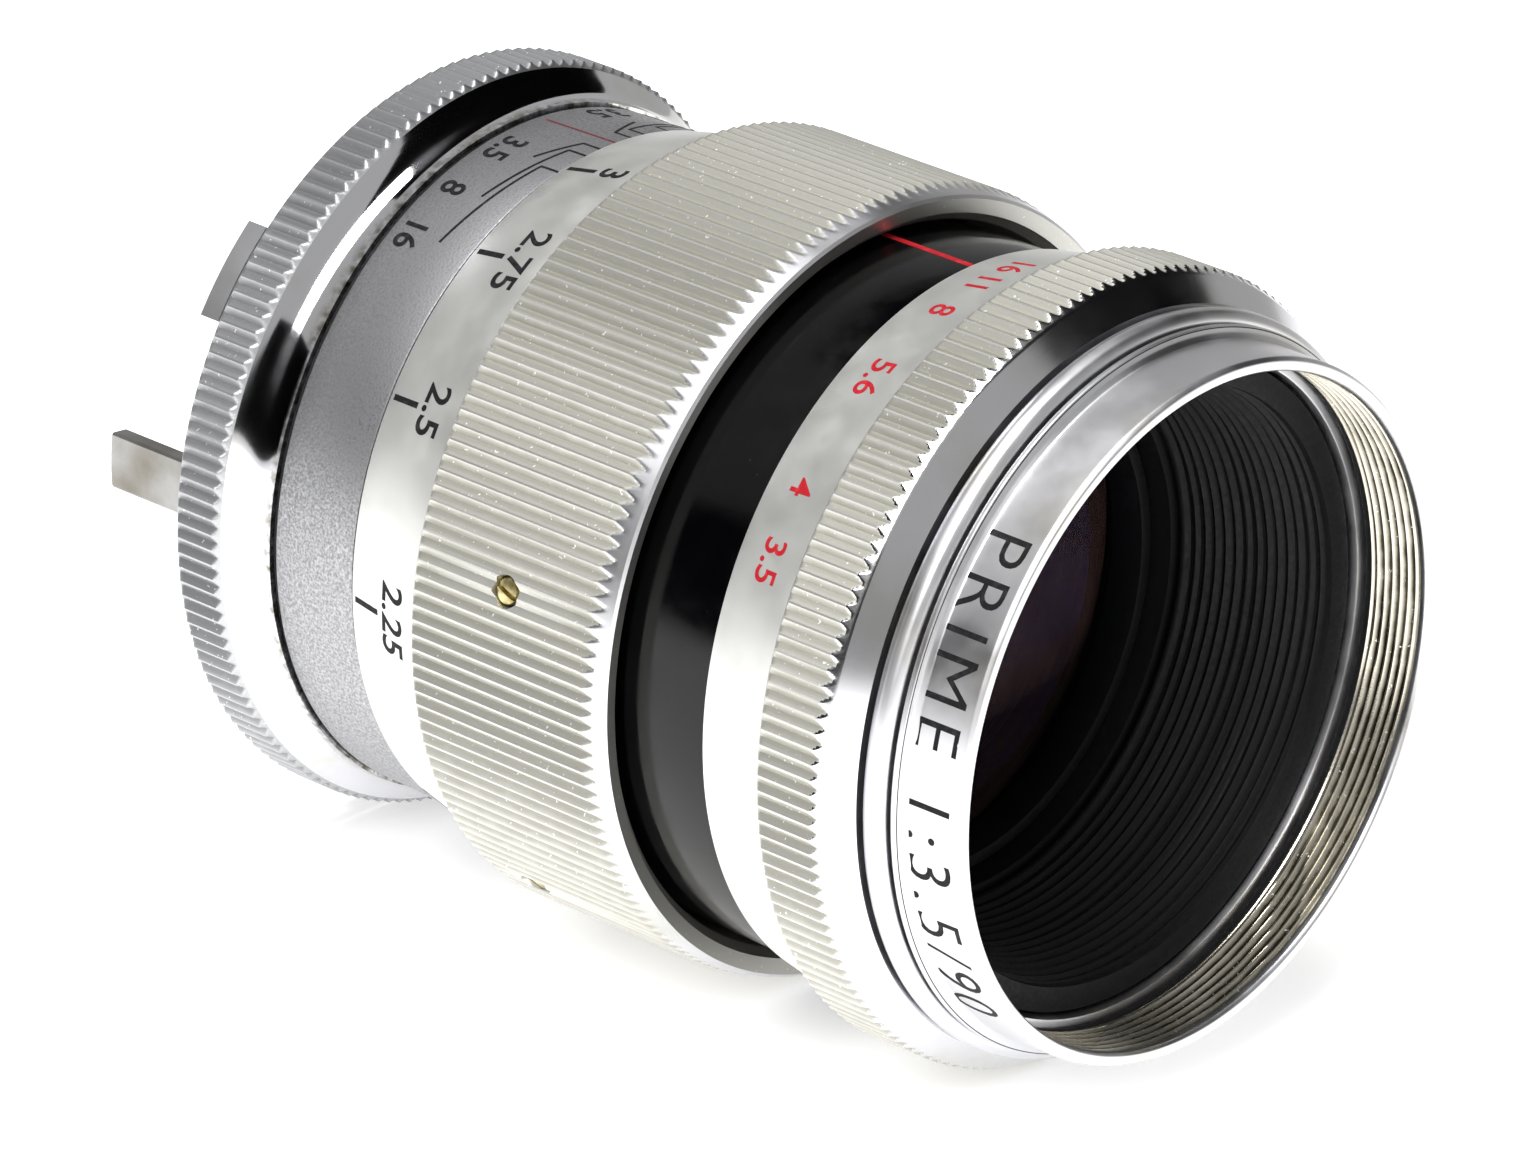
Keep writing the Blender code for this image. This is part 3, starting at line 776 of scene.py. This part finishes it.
def glass(name, radius, front, back, front_curve, back_curve, node):
    """A lens between two vertices. Each side's height is curve - sqrt(curve ** 2 - r ** 2)."""
    def sag(curve, r):
        return np.sign(curve) * (abs(curve) - np.sqrt(curve * curve - r * r))

    r = np.sin(np.linspace(0.002, np.pi / 2, 32)) * radius
    front_side = np.stack((r, front - sag(front_curve, r)), 1)
    back_side = np.stack((r, back + sag(back_curve, r)), 1)[::-1]
    belongs(ring(name, np.vstack((front_side, back_side)), coated, turns=128), "barrel", "coated_glass", node)


glass("front_glass", 13.4, 37.4, 32.8, 30, 200, "front_element")
glass("middle_glass", 11, 31.5, 30.9, -45, -60, "middle_element")
glass("rear_glass", 10.8, 24.2, 20.3, 60, 35, "rear_element")

# The coupling tongue: a strip of ground steel that follows the barrel and moves the camera's
# rangefinder. Its tip is chamfered, and years of use left it stained.

steel, tree, shader = new_finish("ground_steel", Metallic=1.0, Roughness=0.3)
grinding = speckle(tree, 9000, 3.0, (1, 0.05, 1))
stains = blend_of(tree, speckle(tree, 260, 4.0), "7a766d", "a1a09f", 0.35, 0.65)
tree.links.new(stains, shader.inputs["Base Color"])
relieve(tree, shader, grinding, 0.006)
tongue = wedge("coupling_tongue", (15.5, 16.6), (85.6, 96.4), (-8.3, 12), steel, 6)
edge = tongue.modifiers.new("ground_edges", "BEVEL")
edge.width = 0.15 * MM
edge.segments = 2
belongs(tongue, "barrel", "steel", "coupling_tongue")

# The pieces inside keep their plain shapes: brass helicoid, nut and rings, steel key, pins and
# screws, black cells, and the iris blades of blued spring steel.

blued, tree, shader = new_finish("blued_spring_steel", Metallic=1.0, Roughness=0.35)
bluing = blend_of(tree, speckle(tree, 1500, 3.0), "1b1c22", "34363f", 0.3, 0.7)
tree.links.new(bluing, shader.inputs["Base Color"])
relieve(tree, shader, speckle(tree, 6000, 2.0), 0.004)
inner_finishes = {
    "focus_retaining_ring": brass, "guide_key": steel, "lock_stop_screw": steel, "helicoid_nut": brass,
    "inner_helicoid": brass, "middle_cell": baffle_black, "iris_pin_plate": baffle_black,
    "aperture_drive_sleeve": brass, "aperture_drive_pin": steel, "iris_drive_ring": baffle_black,
}
inner_finishes.update({node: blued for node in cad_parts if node.startswith("iris_blade")})
for node, finish in inner_finishes.items():
    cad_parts[node].data.materials.clear()
    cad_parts[node].data.materials.append(finish)

# The floor, the studio light and the camera. The lens lies on a white sweep that touches the
# knurled rings. Dark boards give the polished metal something black to reflect, under one long
# soft light that lies along the lens.

FLOOR = -21.08
SWEEP = 5000
LENS_MIDDLE = (0, -25, 0)


def facing(place, towards, axis):
    """The matrix of a thing at a place, with one of its axes pointing at another place, both in mm."""
    turn = (Vector(towards) - Vector(place)).to_track_quat(axis, "Y")
    return Matrix.Translation(Vector(place) * MM) @ turn.to_matrix().to_4x4()


def board(name, width, height, place, towards, colour, glow=0.0):
    """A flat board of this size in mm that faces a point. It is not part of the lens."""
    mesh = bpy.data.meshes.new(name)
    half = np.array([(-1, -1, 0), (1, -1, 0), (1, 1, 0), (-1, 1, 0)]) * (width / 2, height / 2, 1) * MM
    mesh.from_pydata(half.tolist(), [], [(0, 1, 2, 3)])
    finish, tree, shader = new_finish(name, Base_Color=linear(colour), Roughness=1.0, Specular_IOR_Level=0.0)
    if glow:
        shader.inputs["Emission Color"].default_value = linear(colour)
        shader.inputs["Emission Strength"].default_value = glow
    mesh.materials.append(finish)
    card = bpy.data.objects.new(name, mesh)
    bpy.context.scene.collection.objects.link(card)
    card.matrix_world = facing(place, towards, "Z")
    return card


board("white_floor", SWEEP, SWEEP, (0, -25, FLOOR), (0, -25, 100), "f4f4f4", 0.5)
for name, width, height, place in (
    ("dark_board_above", 460, 620, (180, -60, 320)),
    ("dark_board_beside", 700, 230, (-330, -60, 108)),
):
    card = board(name, width, height, place, LENS_MIDDLE, "040404")
    card.visible_camera = False
    card.visible_shadow = False
    card.visible_diffuse = False

strip = bpy.data.lights.new("strip_light", "AREA")
strip.shape = "RECTANGLE"
strip.size = 180 * MM
strip.size_y = 640 * MM
strip.energy = 3.0
strip_light = bpy.data.objects.new("strip_light", strip)
bpy.context.scene.collection.objects.link(strip_light)
strip_light.matrix_world = facing((-150, -90, 330), LENS_MIDDLE, "-Z")

world = bpy.data.worlds.new("studio")
world.use_nodes = True
world.node_tree.nodes["Background"].inputs["Color"].default_value = linear("f8f8f7")
world.node_tree.nodes["Background"].inputs["Strength"].default_value = 0.47
bpy.context.scene.world = world
bpy.context.scene.view_settings.view_transform = "Standard"

camera_data = bpy.data.cameras.new("camera")
camera_data.lens = 219.8  # mm, as is the sensor
camera_data.sensor_width = 36
camera_data.clip_start = 0.01
camera = bpy.data.objects.new("camera", camera_data)
bpy.context.scene.collection.objects.link(camera)
camera.matrix_world = Matrix((
    (0.66796, 0.26517, -0.69536, -0.33397),
    (-0.74291, 0.29262, -0.60204, -0.31201),
    (0.04384, 0.91874, 0.39245, 0.18676),
    (0, 0, 0, 1),
))
bpy.context.scene.camera = camera
